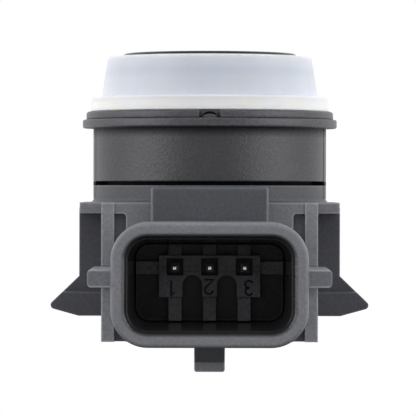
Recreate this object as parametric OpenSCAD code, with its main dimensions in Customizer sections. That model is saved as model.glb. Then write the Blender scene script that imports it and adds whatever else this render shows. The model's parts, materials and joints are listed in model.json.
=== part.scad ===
// Ultrasonic parking sensor: a sensing head in a soft ring, a sleeve, and a housing with a three-pin plug socket.
// Frame: +Z is the sensing direction, the plug leaves along -Y, and the origin lies on the sensing axis
// in the plane of the flange's underside.

/* [Sensing face] */
// Diameter of the membrane that looks out through the bumper
face_d = 15.5; // [14.5:0.1:16.5]
// Thickness of the membrane
face_t = 0.7; // [0.5:0.05:1]
// Height of the membrane above the top of the decoupling ring
face_proud = 0.3; // [0.1:0.05:0.6]
// Rounding round the rim of the membrane
face_edge_r = 0.3; // [0.1:0.05:0.5]
// Height of the membrane pot
pot_h = 7.8; // [7.2:0.1:8.4]
// Long side of the oval cavity behind the membrane
cavity_l = 11.6; // [10.8:0.1:12.6]
// Short side of the oval cavity
cavity_w = 8.6; // [8.2:0.1:9.6]
// Depth of the groove that the ring's bead grips
grip_depth = 0.35; // [0.2:0.05:0.6]
// Height of that groove
grip_h = 0.9; // [0.6:0.1:1.4]

/* [Decoupling ring] */
// Wall of the ring at its top
ring_top_wall = 1.32; // [1:0.01:1.4]
// Wall of the ring at the foot of its cone
ring_foot_wall = 1.89; // [1.6:0.01:2]
// Wall of the ring inside the sleeve
ring_seat_wall = 1.55; // [1.2:0.05:1.7]
// Height of the cone
cone_h = 3.6; // [3:0.1:4.2]
// Width of the sealing band outside the foot of the cone
band_w = 0.83; // [0.7:0.01:1]
// Height of the sealing band
band_h = 1.27; // [0.9:0.01:1.5]
// How far the band flares out at its lower edge
band_flare = 0.17; // [0:0.01:0.3]
// Thickness of the lip that carries the pot
lip_t = 0.6; // [0.4:0.05:0.9]
// Width of that lip under the pot
lip_w = 1.3; // [1:0.1:1.6]
// Rounding of the ring's outer edges
ring_edge_r = 0.15; // [0.05:0.05:0.25]

/* [Collar and sleeve] */
// Wall of the sleeve
sleeve_wall = 1.01; // [0.9:0.01:1.4]
// Height of the sleeve below the flange
sleeve_h = 4.7; // [4.2:0.01:5.4]
// How far the flange stands out from the sleeve
flange_out = 0.98; // [0.7:0.01:1.3]
// Height of the flange
flange_h = 0.76; // [0.7:0.02:1.2]
// Rounding of the flange's edges
flange_edge_r = 0.17; // [0.05:0.01:0.2]
// How far the collar's edge stays inside the flange's edge
collar_step = 0.33; // [0.2:0.01:0.5]
// Height of the collar
collar_h = 0.72; // [0.66:0.02:1.1]
// Rounding of the collar's upper edge
collar_edge_r = 0.25; // [0.1:0.05:0.4]
// Width of the notch over each catch
notch_w = 1.85; // [1.6:0.05:2.4]
// Depth of that notch in from the collar's edge
notch_depth = 0.55; // [0.4:0.05:0.8]
// Number of catches that hold the collar
catch_count = 3; // [2:1:4]
// Width of the half-round catch
catch_w = 1.24; // [0.8:0.02:1.4]
// Height of the half-round catch
catch_h = 0.33; // [0.2:0.01:0.4]
// Height of the catch at its sides, below its arched top
catch_side_h = 0.18; // [0.1:0.01:0.24]
// Gap over the catch in its arched window
window_gap = 0.19; // [0.1:0.01:0.24]
// Wall left behind that window
window_backing = 0.4; // [0.3:0.05:0.6]
// Gap between the sleeve and the housing
seam_gap = 0.38; // [0.2:0.02:0.6]
// Angle of each of the two side lands that close the gap
land_angle = 26; // [16:1:40]
// How far the side lands stand out from the sleeve
land_out = 0.03; // [0.02:0.01:0.12]
// Length of the spigot below the sleeve
spigot_len = 1.8; // [1.6:0.05:2.2]
// Wall of the spigot
spigot_wall = 1.1; // [1:0.05:1.4]
// Thickness of the shelf that carries the decoupling ring
shelf_t = 1; // [0.7:0.05:1.3]
// Section diameter of the joint seal
seal_d = 0.7; // [0.5:0.05:0.8]

/* [Housing] */
// Height of the housing's ring above the top plate
ring_step_h = 1.5; // [1.3:0.02:2.2]
// Fillet at the foot of that ring
ring_fillet_r = 0.36; // [0.2:0.02:0.5]
// Half width of the top plate at the wings
plate_half_w = 11.32; // [11:0.02:12.2]
// Thickness of the top plate
plate_t = 0.95; // [0.8:0.05:1.3]
// How far the plate's front edge stays behind the box front at the wings
plate_set_back = 3.3; // [2.5:0.1:4.5]
// Width of the box
box_w = 18.66; // [18:0.02:19.6]
// Height of the box with its top plate
box_h = 11.98; // [11.6:0.01:13]
// Distance of the box front from the sensing axis
box_front = 10.8; // [10.5:0.05:11.6]
// Distance of the box back from the sensing axis
box_back = 10.4; // [10:0.05:11.4]
// Rounding of the box's rear upright edges
box_edge_r = 2; // [1.2:0.1:2.6]
// Side, rear and front wall of the box
box_wall = 1.21; // [1:0.01:1.5]
// Thickness of the box's front wall, which holds the terminal carrier
front_wall = 3.5; // [3:0.05:4]
// Thickness of the box's ceiling with the top plate
ceiling_t = 1.5; // [1.2:0.05:2]
// Width of the two upright slots in the front
slot_w = 1.01; // [0.6:0.01:1.1]
// Depth of those slots
slot_depth = 0.9; // [0.6:0.05:1.4]
// Round inner corner at the top of those slots
slot_corner_r = 0.3; // [0.1:0.02:0.4]
// Width of the strips beside the slots
strip_w = 1.12; // [1:0.01:1.3]
// How far those strips stand out from the face between them
strip_out = 0.15; // [0.05:0.01:0.3]
// Half width of the neck block over the socket
neck_half_w = 5.05; // [4.5:0.05:6]
// How far the neck block stands out from the box front
neck_out = 1.8; // [1:0.1:3]
// Height of the neck block above the top plate
neck_rise = 1.41; // [1:0.01:1.5]
// Rounding of the neck block's upper corners
neck_edge_r = 0.35; // [0.2:0.05:0.6]
// Rounding of the neck's front edges
neck_front_r = 0.3; // [0.1:0.05:0.5]

/* [Wing catches] */
// Half width of the housing across the wings
wing_half_w = 11.52; // [11.2:0.02:12.2]
// Half width of the housing across the barb tips
barb_half_w = 13.98; // [13.4:0.02:14.8]
// Depth of the top of the barb's ramp below the top plate
ramp_drop = 6.5; // [5.6:0.05:7]
// Depth of the barb's underside below the top plate
barb_drop = 9.98; // [9.6:0.01:10.6]
// How far the barb's underside rises towards its tip
barb_rise = 0.6; // [0.3:0.05:0.9]
// Rounding of the barb's tip
barb_tip_r = 0.35; // [0.2:0.05:0.5]
// Height of the wide part of the barb
barb_h = 2.1; // [1.6:0.05:2.5]
// Width of the wing along the housing
wing_depth = 6; // [4:0.1:8]
// Width of the barb along the housing
barb_depth = 9; // [6.5:0.1:11]

/* [Plug socket] */
// Outer width of the socket shroud
shroud_w = 16.46; // [15.8:0.02:17.2]
// Outer height of the socket shroud
shroud_h = 10.4; // [9.8:0.02:11]
// Outer corner radius of the shroud
shroud_r = 3.1; // [2.8:0.05:3.6]
// Wall of the shroud behind its lead-in
shroud_wall = 1.36; // [1.2:0.02:1.5]
// How far the shroud stands out from the box front
shroud_len = 11; // [10:0.1:12.5]
// Depth of the shroud's centre below the top plate
shroud_drop = 6.8; // [6.4:0.01:7.4]
// Rounding round the outside of the mouth
mouth_r = 0.35; // [0.15:0.05:0.4]
// Rounding round the inside of the mouth
lead_in_r = 0.5; // [0.2:0.05:0.6]
// Width of the ledge between the lead-in and the cavity
lead_in = 0.08; // [0.05:0.01:0.2]
// Depth of the lead-in
lead_in_depth = 0.8; // [0.6:0.05:1.2]
// Depth of the cavity from the mouth
socket_depth = 9.9; // [9:0.1:10.6]
// Draft of the cavity from the lead-in to its floor
socket_draft = 0.55; // [0.3:0.01:0.8]
// Width of the guide rail on each side
rail_w = 1.95; // [1.4:0.05:2.4]
// Height of the guide rails
rail_h = 1.5; // [1.1:0.05:2]
// Height of the guide rails' centre above the shroud's centre
rail_rise = 0.55; // [0:0.05:1]
// Rounding of the guide rails' outer edges
rail_edge_r = 0.35; // [0.2:0.05:0.5]
// Width of the plug latch under the shroud
latch_w = 2.56; // [2:0.02:3.4]
// Height of the plug latch
latch_h = 2.16; // [1.8:0.02:2.6]
// Rounding of the latch's lower corners
latch_edge_r = 0.2; // [0.1:0.02:0.4]
// Height of the upright lip at the latch's lower end
latch_lip_h = 0.78; // [0.5:0.02:1]
// Distance of the latch from the mouth
latch_set_back = 1.5; // [1:0.1:2.5]
// Length of the latch's ramp
latch_ramp = 2.2; // [1.6:0.1:3]
// Length of the latch's lip
latch_lip_len = 1.3; // [1:0.1:2]

/* [Terminals] */
// Spacing of the terminal pins
pin_pitch = 2.95; // [2.5:0.01:3.1]
// Side of a square terminal pin
pin_side = 0.64; // [0.5:0.02:0.8]
// Height of the pins above the shroud's centre
pin_rise = 1.36; // [1.2:0.02:1.6]
// Distance of the pin tips from the mouth
pin_set_back = 3.2; // [2.6:0.1:4.2]
// Length of a pin's tapered tip
pin_taper = 0.8; // [0.5:0.05:1.2]
// Side of the flat at a pin's tip
pin_tip_side = 0.26; // [0.2:0.02:0.4]
// Radius of the bend at the rear of a pin, to its middle
pin_bend_r = 0.9; // [0.7:0.05:1.2]
// Distance of the pin tails from the cavity wall in the box
tail_reach = 2; // [1.8:0.1:2.8]
// Thickness of the carrier's base in the socket
carrier_t = 0.9; // [0.7:0.05:1.2]
// Width of the terminal block
block_w = 8.65; // [8.3:0.05:9]
// Height of the terminal block above the pins
block_above = 0.98; // [0.9:0.02:1.1]
// Depth of the terminal block below the pins
block_below = 2.58; // [2.2:0.02:2.8]
// How far the terminal block stands out from the carrier's base
block_out = 1.1; // [0.8:0.05:1.4]
// Width of the well round each pin
well_w = 1.4; // [1.2:0.02:1.5]
// Height of that well
well_h = 1.46; // [1.2:0.02:1.6]
// Depth of those wells
well_depth = 1.2; // [0.8:0.05:1.4]
// How far the lower half of the block lies behind its upper half
block_step = 0.12; // [0.05:0.01:0.3]
// Depth of that parting step below the pins
block_step_drop = 0.4; // [0.3:0.01:0.5]
// Width of the ribs in line with the pins
rib_w = 1.13; // [0.8:0.01:1.3]
// How far those ribs stand out from the carrier's base
rib_out = 0.6; // [0.3:0.05:0.7]
// Width of the arched recesses between the pins
arch_w = 1.66; // [1.3:0.02:1.8]
// Depth of the top of those arches below the pins
arch_drop = 0.72; // [0.6:0.02:0.9]
// Height of the cross bars that key the carrier
bar_h = 1.12; // [0.8:0.02:1.2]
// Depth of the cross bars' middle below the pins
bar_drop = 0.1; // [0:0.01:0.2]
// Depth of the carrier's tongue above and below the pins
tongue_half_h = 1; // [0.8:0.05:1.1]

/* [Electronics] */
// Distance of the circuit board below the terminal pins
board_drop = 2.5; // [2:0.05:3]
// Thickness of the circuit board
board_t = 1; // [0.8:0.05:1.2]
// Gap round the circuit board
board_gap = 0.15; // [0.1:0.05:0.3]
// Side of the four posts that the board seats on
post_side = 1.4; // [1:0.1:1.6]
// How far the tails pass through the board
tail_out = 1.2; // [0.8:0.05:1.6]
// Diameter of the piezo disc
piezo_d = 7; // [6:0.1:7.6]
// Thickness of the piezo disc
piezo_t = 0.4; // [0.2:0.05:0.6]
// Diameter of the transducer's pins
head_pin_d = 0.6; // [0.5:0.05:0.8]
// Diameter of the piezo leads
lead_d = 0.3; // [0.2:0.02:0.4]
// Distance of the lead on the piezo disc from the sensing axis
piezo_lead_x = 1.5; // [1:0.1:2.2]
// Distance of the lead on the membrane from the sensing axis
pot_lead_x = 4.6; // [4.3:0.05:4.8]
// Thickness of the contact carrier
contact_t = 0.8; // [0.6:0.05:1.2]
// Height of the damping foam
foam_h = 5; // [4:0.1:5.6]
// Side of the transformer's ferrite core
core_side = 5.2; // [4.6:0.1:5.6]
// Height of the transformer
core_h = 4.4; // [3.6:0.1:4.8]
// Thickness of the core's two end plates
core_flange_t = 0.8; // [0.6:0.05:1]
// Diameter of the core's middle post
core_post_d = 2.4; // [2:0.1:2.8]
// Side of the signal chip
chip_side = 4.5; // [4:0.1:5]
// Height of the signal chip
chip_h = 0.9; // [0.7:0.05:1.1]
// Length, width and height of a chip capacitor
cap_size = [2, 1.25, 1.1];
// Length, width and height of a chip resistor
res_size = [1.6, 0.8, 0.5];
// Spacing of the chip parts in their rows
chip_part_pitch = 2.1; // [1.8:0.05:2.3]
// Thickness of the rear cover
cover_t = 1; // [0.8:0.05:1.3]
// Width of the ledge that the rear cover seats on
cover_ledge = 0.6; // [0.4:0.05:0.7]

/* [Fits] */
// Clearance of a snug round or sliding fit
snug = 0.02; // [0.01:0.01:0.05]
// Clearance at the end of a spigot or pin
end_gap = 0.1; // [0.05:0.01:0.2]

/* [Hidden] */
$fn = 64;

// A cut runs past the face that it opens by this much
past = 1;

// Heights of the sensing head, from the flange's underside up
z_collar = flange_h;
z_band = z_collar + collar_h;
z_cone = z_band + band_h;
z_ring_top = z_cone + cone_h;
z_face = z_ring_top + face_proud;
z_pot = z_face - pot_h;
z_shelf = z_pot - lip_t;
z_contact = z_shelf - shelf_t;
z_piezo = z_face - face_t - piezo_t;
z_grip = (z_pot + z_band) / 2;

// Radii of the sensing head, from the pot outwards
pot_r = face_d / 2;
ring_bore_r = pot_r + snug;
ring_seat_r = ring_bore_r + ring_seat_wall;
ring_top_r = ring_bore_r + ring_top_wall;
cone_foot_r = ring_bore_r + ring_foot_wall;
band_r = cone_foot_r + band_w;
shelf_r = pot_r - lip_w;
sleeve_bore_r = ring_seat_r + snug;
sleeve_r = sleeve_bore_r + sleeve_wall;
land_r = sleeve_r + land_out;
land_inner_r = sleeve_r - sleeve_wall / 2;
spigot_mid_r = sleeve_bore_r - spigot_wall / 2;
flange_r = sleeve_r + flange_out;
collar_r = flange_r - collar_step;
notch_r = collar_r - notch_depth;
window_back_r = sleeve_bore_r + window_backing;

// Heights of the housing, from the sleeve down
z_sleeve = -sleeve_h;
z_seam = z_sleeve - seam_gap;
z_spigot = z_sleeve - spigot_len;
z_plate = z_seam - ring_step_h;
z_ceiling = z_plate - ceiling_t;
z_box = z_plate - box_h;
z_cover = z_box + cover_t;
z_shroud = z_plate - shroud_drop;
z_pin = z_shroud + pin_rise;
z_board = z_pin - board_drop;
z_tails = z_board - board_t - tail_out;

// Radii of the joint between the sleeve and the housing
spigot_r = sleeve_bore_r;
spigot_bore_r = spigot_r - spigot_wall;
housing_bore_r = spigot_r + snug;
z_seal = (z_seam + z_spigot) / 2;

// Places along the plug's axis, from the mouth to the rear wall
y_mouth = -box_front - shroud_len;
y_floor = y_mouth + socket_depth;
y_base = y_floor - carrier_t;
y_block = y_base - block_out;
y_front_wall = -box_front + front_wall;
y_rear_wall = box_back - box_wall;
y_tip = y_mouth + pin_set_back;
y_tail = y_front_wall + tail_reach;

// The box's own cavity and the board that fills it
cavity_half_w = box_w / 2 - box_wall;
cavity_r = box_edge_r - box_wall;
board_half_w = cavity_half_w - board_gap;
board_back = y_rear_wall - board_gap;

// The socket's cavity at its mouth and at its floor
socket_w = shroud_w - 2 * shroud_wall;
socket_h = shroud_h - 2 * shroud_wall;
socket_r = shroud_r - shroud_wall;
floor_w = socket_w - 2 * (socket_draft + snug);
floor_h = socket_h - 2 * (socket_draft + snug);
floor_r = socket_r - socket_draft;

pin_x = [-pin_pitch, 0, pin_pitch];
head_pin_x = [-piezo_lead_x, pot_lead_x];

// Points of an arc round a centre, from one angle to another
function arc(centre, r, from, to, steps = 8) =
    [for (i = [0:steps]) centre + r * [cos(from + (to - from) * i / steps), sin(from + (to - from) * i / steps)]];

// Steps of a rounding at a mouth: how far in from the side and how deep, from the face to the side
function rounding(r, steps = 3) =
    [for (i = [0:steps]) r * [1 - sin(90 * i / steps), 1 - cos(90 * i / steps)]];

// A rectangle with round corners, about its centre
module rounded_rect(w, h, r) {
    square([w - 2 * r, h], center = true);
    square([w, h - 2 * r], center = true);
    for (sx = [-1, 1], sy = [-1, 1])
        translate([sx * (w / 2 - r), sy * (h / 2 - r)])
            circle(r);
}

// A slot with half-round ends, about its centre
module stadium(l, w) {
    square([l - w, w], center = true);
    for (s = [-1, 1])
        translate([s * (l - w) / 2, 0])
            circle(d = w);
}

// A profile drawn in X and Z, carried along Y
module along_y(from, to) {
    translate([0, to, 0])
        rotate([90, 0, 0])
            linear_extrude(to - from)
                children();
}

// A profile drawn in Y and Z, carried along X about the middle
module along_x(w) {
    rotate([90, 0, 90])
        linear_extrude(w, center = true)
            children();
}

// A rounded rectangle about the socket's axis that draws in evenly on all sides as it goes from the mouth
// towards +Y: each step gives the distance in from the outline and the depth behind the mouth
module drawn_in(w, h, r, steps) {
    last = len(steps) - 1;
    translate([0, y_mouth, z_shroud])
        rotate([-90, 0, 0]) {
            for (side = [[w, h, 0], [h, w, 90]])
                rotate([90, 0, side[2]])
                    linear_extrude(side[1] - 2 * r, center = true)
                        polygon(concat(
                            [for (s = steps) [side[0] / 2 - s[0], s[1]]],
                            [for (i = [0:last]) [steps[last - i][0] - side[0] / 2, steps[last - i][1]]]
                        ));
            for (sx = [-1, 1], sy = [-1, 1])
                translate([sx * (w / 2 - r), sy * (h / 2 - r), 0])
                    rotate_extrude()
                        polygon(concat(
                            [[0, steps[0][1]]],
                            [for (s = steps) [r - s[0], s[1]]],
                            [[0, steps[last][1]]]
                        ));
        }
}

// A block between two heights, about the sensing axis in X, between two places along Y
module slab(w, y_from, y_to, z_from, z_to) {
    translate([-w / 2, y_from, z_from])
        cube([w, y_to - y_from, z_to - z_from]);
}

// Soft ring that holds the pot in the sleeve and seals against the bumper
module decoupling_ring() {
    color("#dfe3ea")
        rotate_extrude()
            polygon(concat(
                [[shelf_r, z_shelf], [ring_seat_r, z_shelf], [ring_seat_r, z_band]],
                [[band_r + band_flare, z_band]],
                arc([band_r - ring_edge_r, z_cone - ring_edge_r], ring_edge_r, 0, 90),
                [[cone_foot_r, z_cone]],
                arc([ring_top_r - ring_edge_r, z_ring_top - ring_edge_r], ring_edge_r, 0, 90),
                [[ring_bore_r, z_ring_top], [ring_bore_r, z_grip + grip_h / 2]],
                [[ring_bore_r - grip_depth, z_grip + grip_h / 2], [ring_bore_r - grip_depth, z_grip - grip_h / 2]],
                [[ring_bore_r, z_grip - grip_h / 2], [ring_bore_r, z_pot], [shelf_r, z_pot]]
            ));
}

// Deep-drawn pot whose floor is the sensing membrane, with an oval cavity that shapes the beam
module membrane_pot() {
    color("#17181b")
        difference() {
            rotate_extrude()
                polygon(concat(
                    [[0, z_pot], [pot_r, z_pot], [pot_r, z_grip - grip_h / 2]],
                    [[pot_r - grip_depth, z_grip - grip_h / 2], [pot_r - grip_depth, z_grip + grip_h / 2]],
                    [[pot_r, z_grip + grip_h / 2]],
                    arc([pot_r - face_edge_r, z_face - face_edge_r], face_edge_r, 0, 90),
                    [[0, z_face]]
                ));
            translate([0, 0, z_pot - past])
                linear_extrude(pot_h - face_t + past)
                    stadium(cavity_l, cavity_w);
        }
}

// Piezo disc bonded to the back of the membrane
module piezo_disc() {
    color("#c9b48a")
        translate([0, 0, z_piezo])
            cylinder(piezo_t, d = piezo_d);
}

// Foam that fills the pot behind the piezo disc
module damping_foam() {
    color("#3b3d42")
        translate([0, 0, z_piezo - foam_h])
            difference() {
                linear_extrude(foam_h)
                    stadium(cavity_l - 2 * end_gap, cavity_w - 2 * end_gap);
                for (x = head_pin_x)
                    translate([x, 0, -past])
                        cylinder(foam_h + 2 * past, d = lead_d + 2 * snug);
            }
}

// Two leads, one from the piezo disc and one from the membrane beside it
module piezo_leads() {
    color("#b87333")
        for (i = [0, 1])
            translate([head_pin_x[i], 0, z_shelf])
                cylinder(z_piezo + i * piezo_t - z_shelf, d = lead_d);
}

// Disc under the sleeve's shelf that carries the transducer's pins
module contact_carrier() {
    color("#2c2d31")
        difference() {
            union() {
                translate([0, 0, z_contact - contact_t])
                    cylinder(contact_t, r = spigot_bore_r - snug);
                translate([0, 0, z_contact])
                    cylinder(shelf_t - end_gap, r = shelf_r - snug);
            }
            for (x = head_pin_x)
                translate([x, 0, z_contact - contact_t - past])
                    cylinder(contact_t + shelf_t + 2 * past, d = head_pin_d + 2 * snug);
        }
}

// Two pins from the sensing head down through the circuit board
module transducer_pins() {
    color("#c8c6bd")
        for (x = head_pin_x)
            translate([x, 0, z_tails])
                cylinder(z_shelf - z_tails, d = head_pin_d);
}

// Outline of a catch or of its window: straight sides and an arched top, standing on the flange
module catch_outline(w, h) {
    rise = h - catch_side_h;
    r = (w * w / 4 + rise * rise) / (2 * rise);
    half_angle = asin(w / 2 / r);
    polygon(concat(
        [[-w / 2, 0], [w / 2, 0]],
        arc([0, h - r], r, 90 - half_angle, 90 + half_angle)
    ));
}

// Places a shape at each catch, the first one over the plug socket
module at_catches() {
    for (i = [0:catch_count - 1])
        rotate(i * 360 / catch_count)
            translate([0, 0, z_collar])
                children();
}

// Snap collar that clamps the sealing band, with a notch and an arched window over each catch
module retaining_collar() {
    color("#4c4e52")
        difference() {
            rotate_extrude()
                polygon(concat(
                    [[sleeve_bore_r, z_collar], [collar_r, z_collar]],
                    arc([collar_r - collar_edge_r, z_band - collar_edge_r], collar_edge_r, 0, 90),
                    [[sleeve_bore_r, z_band]]
                ));
            at_catches() {
                slab(notch_w, -collar_r - past, -notch_r, -past, collar_h + past);
                along_y(-collar_r, -window_back_r)
                    catch_outline(catch_w + 2 * snug, catch_h + window_gap);
            }
        }
}

// Sleeve with the mounting flange, the shelf for the ring and the spigot that plugs into the housing
module front_sleeve() {
    groove_half_h = seal_d / 2 + end_gap;
    groove_r = spigot_r - seal_d + 2 * snug;
    color("#4c4e52") {
        rotate_extrude()
            polygon(concat(
                [[spigot_bore_r, z_spigot], [spigot_r, z_spigot], [spigot_r, z_seal - groove_half_h]],
                [[groove_r, z_seal - groove_half_h], [groove_r, z_seal + groove_half_h]],
                [[spigot_r, z_seal + groove_half_h], [spigot_r, z_sleeve], [sleeve_r, z_sleeve], [sleeve_r, 0]],
                arc([flange_r - flange_edge_r, flange_edge_r], flange_edge_r, -90, 0),
                arc([flange_r - flange_edge_r, flange_h - flange_edge_r], flange_edge_r, 0, 90),
                [[sleeve_bore_r, flange_h], [sleeve_bore_r, z_shelf], [shelf_r, z_shelf], [shelf_r, z_contact]],
                [[spigot_bore_r, z_contact]]
            ));
        at_lands()
            polygon([
                [spigot_mid_r, z_seam], [land_r, z_seam], [land_r, 0], [land_inner_r, 0],
                [land_inner_r, z_sleeve + seam_gap], [spigot_mid_r, z_sleeve + seam_gap]
            ]);
        at_catches()
            along_y(-notch_r - end_gap, -window_back_r - end_gap)
                catch_outline(catch_w, catch_h);
    }
}

// Turns a section through the two narrow lands on the left and right
module at_lands() {
    for (side = [0, 180])
        rotate(side - land_angle / 2)
            rotate_extrude(angle = land_angle)
                children();
}

// Rubber ring in the spigot's groove
module joint_seal() {
    section_r = seal_d / 2 - snug;
    color("#101113")
        translate([0, 0, z_seal])
            rotate_extrude()
                translate([housing_bore_r - snug - section_r, 0])
                    circle(section_r);
}

// Ring of the housing that the spigot plugs into, with a fillet on to the top plate
module housing_ring() {
    z_straight = z_plate + ring_fillet_r;
    rotate(90)
        rotate_extrude()
            polygon(concat(
                [[spigot_bore_r, z_plate - plate_t], [sleeve_r + ring_fillet_r, z_plate - plate_t]],
                arc([sleeve_r + ring_fillet_r, z_straight], ring_fillet_r, 270, 180),
                [[sleeve_r, z_seam], [spigot_bore_r, z_seam]]
            ));
    at_lands()
        translate([land_inner_r, z_straight])
            square([land_r - land_inner_r, z_seam - z_straight]);
}

// Box outline seen from above, with round rear corners
module box_outline(half_w, front, back, r) {
    translate([-half_w, -front])
        square([2 * half_w, front + back - r]);
    translate([-half_w + r, -front])
        square([2 * (half_w - r), front + back]);
    for (s = [-1, 1])
        translate([s * (half_w - r), back - r])
            circle(r);
}

// Top plate, box, neck block and the strips beside the slots, before they are hollowed
module box_body() {
    translate([0, 0, z_box])
        linear_extrude(box_h)
            box_outline(box_w / 2, box_front, box_back, box_edge_r);
    translate([0, 0, z_plate - plate_t])
        linear_extrude(plate_t)
            box_outline(plate_half_w, box_front - plate_set_back, box_back, box_edge_r);
    neck_block();
    for (side = [0, 1])
        mirror([side, 0, 0])
            along_y(-box_front - strip_out, -box_front + box_wall)
                translate([box_w / 2 - strip_w, z_box])
                    square([strip_w, box_h]);
}

// Block between the plate and the shroud, with rounded edges at its front
module neck_block() {
    z_top = z_plate + neck_rise;
    y_front = -box_front - neck_out;
    y_back = -box_front + box_wall;
    intersection() {
        along_y(y_front, y_back)
            polygon(concat(
                [[-neck_half_w, z_shroud], [neck_half_w, z_shroud]],
                arc([neck_half_w - neck_edge_r, z_top - neck_edge_r], neck_edge_r, 0, 90, 4),
                arc([neck_edge_r - neck_half_w, z_top - neck_edge_r], neck_edge_r, 90, 180, 4)
            ));
        translate([0, 0, z_shroud])
            linear_extrude(z_top - z_shroud)
                polygon(concat(
                    [[neck_half_w, y_back], [-neck_half_w, y_back]],
                    arc([neck_front_r - neck_half_w, y_front + neck_front_r], neck_front_r, 180, 270, 4),
                    arc([neck_half_w - neck_front_r, y_front + neck_front_r], neck_front_r, 270, 360, 4)
                ));
        along_x(2 * neck_half_w)
            polygon(concat(
                [[y_back, z_top], [y_back, z_shroud], [y_front, z_shroud]],
                arc([y_front + neck_front_r, z_top - neck_front_r], neck_front_r, 180, 90, 4)
            ));
    }
}

// Outline of a wing in X and Z: a straight side, a ramp at 45 degrees and a rounded barb
module wing_outline() {
    z_ramp = z_plate - ramp_drop;
    z_under = z_plate - barb_drop;
    tip = [barb_half_w - barb_tip_r, z_under + barb_rise + barb_tip_r];
    under = [wing_half_w, z_under];
    shoulder = [wing_half_w, z_ramp];
    to_shoulder = shoulder - tip;
    to_under = under - tip;
    ramp_angle = atan2(to_shoulder[1], to_shoulder[0]) - acos(barb_tip_r / norm(to_shoulder));
    under_angle = atan2(to_under[1], to_under[0]) + acos(barb_tip_r / norm(to_under));
    inner = box_w / 2 - box_wall / 2;
    polygon(concat(
        [[inner, z_plate - plate_t / 2], [wing_half_w, z_plate - plate_t / 2], shoulder],
        arc(tip, barb_tip_r, ramp_angle, under_angle),
        [under, [inner, z_under]]
    ));
}

// Two rigid wings with barbs, which a holder's spring loops snap behind
module wings() {
    z_under = z_plate - barb_drop;
    for (side = [0, 1])
        mirror([side, 0, 0]) {
            along_y(-wing_depth / 2, wing_depth / 2)
                wing_outline();
            along_y(-barb_depth / 2, barb_depth / 2)
                intersection() {
                    wing_outline();
                    translate([0, z_under])
                        square([barb_half_w, barb_h]);
                }
        }
}

// Socket shroud with its rounded rim, side rails and the latch for the plug
module shroud_body() {
    drawn_in(shroud_w, shroud_h, shroud_r, concat(rounding(mouth_r), [[0, shroud_len + box_wall]]));
    along_y(y_mouth + mouth_r, -box_front + box_wall)
        translate([0, z_shroud + rail_rise])
            rounded_rect(shroud_w + 2 * rail_w, rail_h, rail_edge_r);
    intersection() {
        along_x(latch_w)
            latch_outline();
        along_y(y_mouth, -box_front)
            translate([0, z_shroud])
                rounded_rect(latch_w, shroud_h + 2 * latch_h, latch_edge_r);
    }
}

// Side view of the plug latch: a ramp, an upright lip and a catch face at the rear
module latch_outline() {
    z_wall = z_shroud - shroud_h / 2;
    y_ramp = y_mouth + latch_set_back;
    y_lip = y_ramp + latch_ramp;
    polygon([
        [y_ramp, z_wall + shroud_wall / 2],
        [y_ramp, z_wall],
        [y_lip, z_wall - latch_h + latch_lip_h],
        [y_lip, z_wall - latch_h],
        [y_lip + latch_lip_len, z_wall - latch_h],
        [y_lip + latch_lip_len, z_wall + shroud_wall / 2]
    ]);
}

// Hollow of the plug socket, with a lead-in and draft, and the slot for the terminal carrier
module socket_hollow() {
    drawn_in(socket_w + 2 * lead_in, socket_h + 2 * lead_in, socket_r + lead_in, concat(
        [[-lead_in_r, -past]],
        [for (s = rounding(lead_in_r)) [-s[0], s[1]]],
        [[0, lead_in_depth]]
    ));
    drawn_in(socket_w, socket_h, socket_r, [[0, 0], [socket_draft, socket_depth]]);
    slab(block_w, y_floor - past, y_front_wall + past, z_pin - tongue_half_h, z_pin + tongue_half_h);
}

// Hollow of the box, open below, with a ledge for the cover and four posts for the board
module box_hollow() {
    post_places = [y_front_wall, y_rear_wall - post_side];
    difference() {
        translate([0, 0, z_box - past])
            linear_extrude(z_ceiling - z_box + past)
                box_outline(cavity_half_w, -y_front_wall, y_rear_wall, cavity_r);
        for (side = [-1, 1], y = post_places)
            translate([side * (cavity_half_w - post_side / 2) - post_side / 2, y, z_board])
                cube([post_side, post_side, z_ceiling - z_board]);
    }
    translate([0, 0, z_box - past])
        linear_extrude(cover_t + past)
            box_outline(cavity_half_w + cover_ledge, cover_ledge - y_front_wall, y_rear_wall + cover_ledge,
                cavity_r + cover_ledge);
}

// Upright slots at each side of the box front, with a round inner corner at the top
module front_slots() {
    z_top = z_plate - plate_t;
    x_outer = box_w / 2 - strip_w;
    x_inner = x_outer - slot_w;
    for (side = [0, 1])
        mirror([side, 0, 0])
            along_y(-box_front - past, -box_front + slot_depth)
                polygon(concat(
                    [[x_inner, z_box - past], [x_outer, z_box - past], [x_outer, z_top]],
                    arc([x_inner + slot_corner_r, z_top - slot_corner_r], slot_corner_r, 90, 180)
                ));
}

// One-piece moulded housing: ring, top plate, box, wings, neck, socket shroud, rails and latch
module main_housing() {
    color("#4f5155")
        difference() {
            union() {
                housing_ring();
                box_body();
                wings();
                shroud_body();
            }
            translate([0, 0, z_spigot - end_gap])
                cylinder(spigot_len + past, r = housing_bore_r);
            translate([0, 0, z_ceiling - past])
                cylinder(z_plate - z_ceiling + 2 * past, r = spigot_bore_r);
            socket_hollow();
            box_hollow();
            front_slots();
        }
}

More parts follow.
